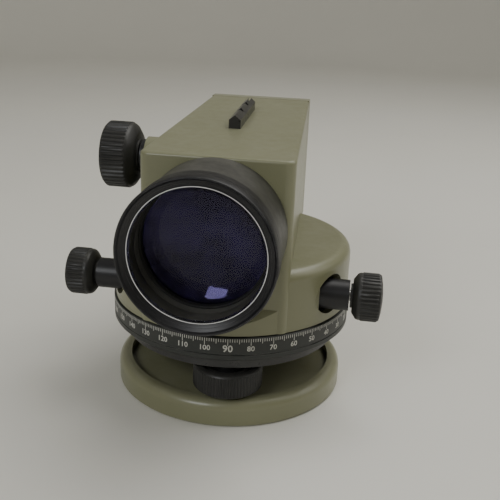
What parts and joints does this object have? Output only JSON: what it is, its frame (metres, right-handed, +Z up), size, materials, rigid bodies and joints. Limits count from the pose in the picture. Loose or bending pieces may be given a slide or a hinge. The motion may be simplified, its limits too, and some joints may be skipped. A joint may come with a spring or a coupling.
{
  "type": "automatic level",
  "caption": "Surveyor's automatic level: telescope with focusing, compensator and eyepiece on a graduated circle, tangent drive and levelling foot screws, for a tripod.",
  "frame": {"origin": "mouth of the tripod thread, on the vertical axis at the underside of the base", "axes": "+Z up along the vertical axis; the telescope looks along -Y and the observer stands at +Y; +X is on the observer's left"},
  "size_m": [0.1466, 0.2091, 0.1338],
  "materials": {
    "green_paint": "satin olive enamel with a fine orange-peel texture",
    "dark_paint": "semi-matt black enamel",
    "circle_black": "dark anodised with white figures",
    "barrel_black": "satin black enamel",
    "bezel_black": "black anodised, fine turned grain",
    "knob_black": "moulded black, ribbed",
    "steel": "turned and ground",
    "brass": "turned",
    "bright_alloy": "machined",
    "inner_black": "matt black",
    "coated_glass": "blue-violet anti-reflection coating",
    "clear_glass": "polished",
    "vial_glass": "polished, yellow-green liquid",
    "rubber": "soft matt",
    "mirror_face": "silvered"
  },
  "bodies": {
    "base": {"base_plate": "green_paint", "tripod_bush": "brass"},
    "foot_screw_1": {"foot_stem_1": "brass", "foot_knob_1": "knob_black"},
    "foot_screw_2": {"foot_stem_2": "brass", "foot_knob_2": "knob_black"},
    "foot_screw_3": {"foot_stem_3": "brass", "foot_knob_3": "knob_black"},
    "spring_plate": {"spring_plate": "steel"},
    "tribrach": {"tribrach_plate": "dark_paint", "foot_bushes": "brass", "axis_spindle": "steel", "axis_nut": "brass"},
    "circle": {"horizontal_circle": "circle_black"},
    "alidade": {"housing": "green_paint", "floor_plate": "inner_black", "floor_screws": "steel", "axis_bush": "brass", "cover_gasket": "rubber", "rear_cover": "green_paint", "rear_cover_screws": "steel", "objective_tube": "barrel_black", "objective_bezel": "bezel_black", "lens_retaining_ring": "bezel_black", "objective_front_lens": "coated_glass", "objective_rear_lens": "clear_glass", "inner_barrel": "inner_black", "focus_bush": "bezel_black", "tangent_sleeve_left": "bezel_black", "tangent_sleeve_right": "bezel_black", "compensator_frame": "inner_black", "fixed_prisms": "clear_glass", "suspension_wires": "steel", "eyepiece_mount": "bezel_black", "reticle_cell": "brass", "reticle_glass": "clear_glass", "reticle_screws": "steel", "sight_rail": "dark_paint", "sight_screws": "steel", "level_case": "bezel_black", "level_vial": "vial_glass", "mirror_pin": "steel"},
    "tangent_screw": {"worm_shaft": "steel", "tangent_knob_left": "knob_black", "tangent_knob_right": "knob_black"},
    "worm_wheel": {"worm_wheel": "brass"},
    "focus_drive": {"focus_shaft": "steel", "focus_knob": "knob_black"},
    "focusing_cell": {"focusing_cell": "inner_black", "focusing_lens": "clear_glass"},
    "pendulum": {"pendulum_frame": "bright_alloy", "pendulum_prism": "clear_glass"},
    "diopter_ring": {"diopter_ring": "knob_black"},
    "eyepiece": {"eyepiece_tube": "bezel_black", "field_lens": "clear_glass", "eye_lens": "coated_glass", "eyecup": "rubber"},
    "mirror": {"mirror_frame": "bezel_black", "mirror_glass": "mirror_face"}
  },
  "joints": [
    {"name": "foot_screw_1_turn", "type": "hinge", "parent": "base", "child": "foot_screw_1", "pos_m": [0.00606, -0.04055, 0.0079], "axis": [0, 0, 1], "range_deg": [-600, 600]},
    {"name": "foot_screw_2_turn", "type": "hinge", "parent": "base", "child": "foot_screw_2", "pos_m": [0.03209, 0.02552, 0.0079], "axis": [0, 0, 1], "range_deg": [-340, 340]},
    {"name": "foot_screw_3_turn", "type": "hinge", "parent": "base", "child": "foot_screw_3", "pos_m": [-0.03815, 0.01503, 0.0079], "axis": [0, 0, 1], "range_deg": [-340, 340]},
    {"name": "front_back_levelling", "type": "hinge", "parent": "base", "child": "spring_plate", "pos_m": [-0.00303, 0.02028, 0.0079], "axis": [0.989, 0.1478, 0], "range_deg": [-1.16, 1.16]},
    {"name": "sideways_levelling", "type": "hinge", "parent": "spring_plate", "child": "tribrach", "pos_m": [0, 0, 0.0079], "axis": [0.1478, -0.989, 0], "range_deg": [-1.14, 1.14]},
    {"name": "circle_turn", "type": "hinge", "parent": "tribrach", "child": "circle", "pos_m": [0, 0, 0.0346], "axis": [0, 0, 1], "continuous": true},
    {"name": "instrument_turn", "type": "hinge", "parent": "tribrach", "child": "alidade", "pos_m": [0, 0, 0.046], "axis": [0, 0, 1], "continuous": true},
    {"name": "tangent_turn", "type": "hinge", "parent": "alidade", "child": "tangent_screw", "pos_m": [0, -0.02735, 0.05835], "axis": [1, 0, 0], "continuous": true},
    {"name": "worm_wheel_turn", "type": "hinge", "parent": "alidade", "child": "worm_wheel", "pos_m": [0, 0, 0.05835], "axis": [0, 0, 1], "continuous": true},
    {"name": "focus_turn", "type": "hinge", "parent": "alidade", "child": "focus_drive", "pos_m": [0, 0.004, 0.1086], "axis": [1, 0, 0], "range_deg": [-105, 105]},
    {"name": "focusing_slide", "type": "slide", "parent": "alidade", "child": "focusing_cell", "axis": [0, 1, 0], "range_m": [-0.00769, 0.00769]},
    {"name": "compensator_swing", "type": "hinge", "parent": "alidade", "child": "pendulum", "pos_m": [0, 0.044, 0.1038], "axis": [1, 0, 0], "range_deg": [-1, 1]},
    {"name": "diopter_turn", "type": "hinge", "parent": "alidade", "child": "diopter_ring", "pos_m": [0, 0.0914, 0.0911], "axis": [0, 1, 0], "range_deg": [-150, 150]},
    {"name": "eyepiece_slide", "type": "slide", "parent": "alidade", "child": "eyepiece", "axis": [0, 1, 0], "range_m": [-0.0015, 0.0015]},
    {"name": "mirror_fold", "type": "hinge", "parent": "alidade", "child": "mirror", "pos_m": [-0.03899, 0.0148, 0.0864], "axis": [1, 0, 0], "range_deg": [-45, 45]}
  ],
  "couplings": [
    {"joint": "foot_screw_1_turn", "follows": "front_back_levelling", "ratio": 515.22},
    {"joint": "foot_screw_2_turn", "follows": "sideways_levelling", "ratio": -297.46},
    {"joint": "foot_screw_3_turn", "follows": "sideways_levelling", "ratio": 297.46},
    {"joint": "worm_wheel_turn", "follows": "tangent_turn", "ratio": -0.016667},
    {"joint": "focus_turn", "follows": "focusing_slide", "rad_per_m": 238.1},
    {"joint": "diopter_turn", "follows": "eyepiece_slide", "rad_per_m": 1743.6}
  ]
}
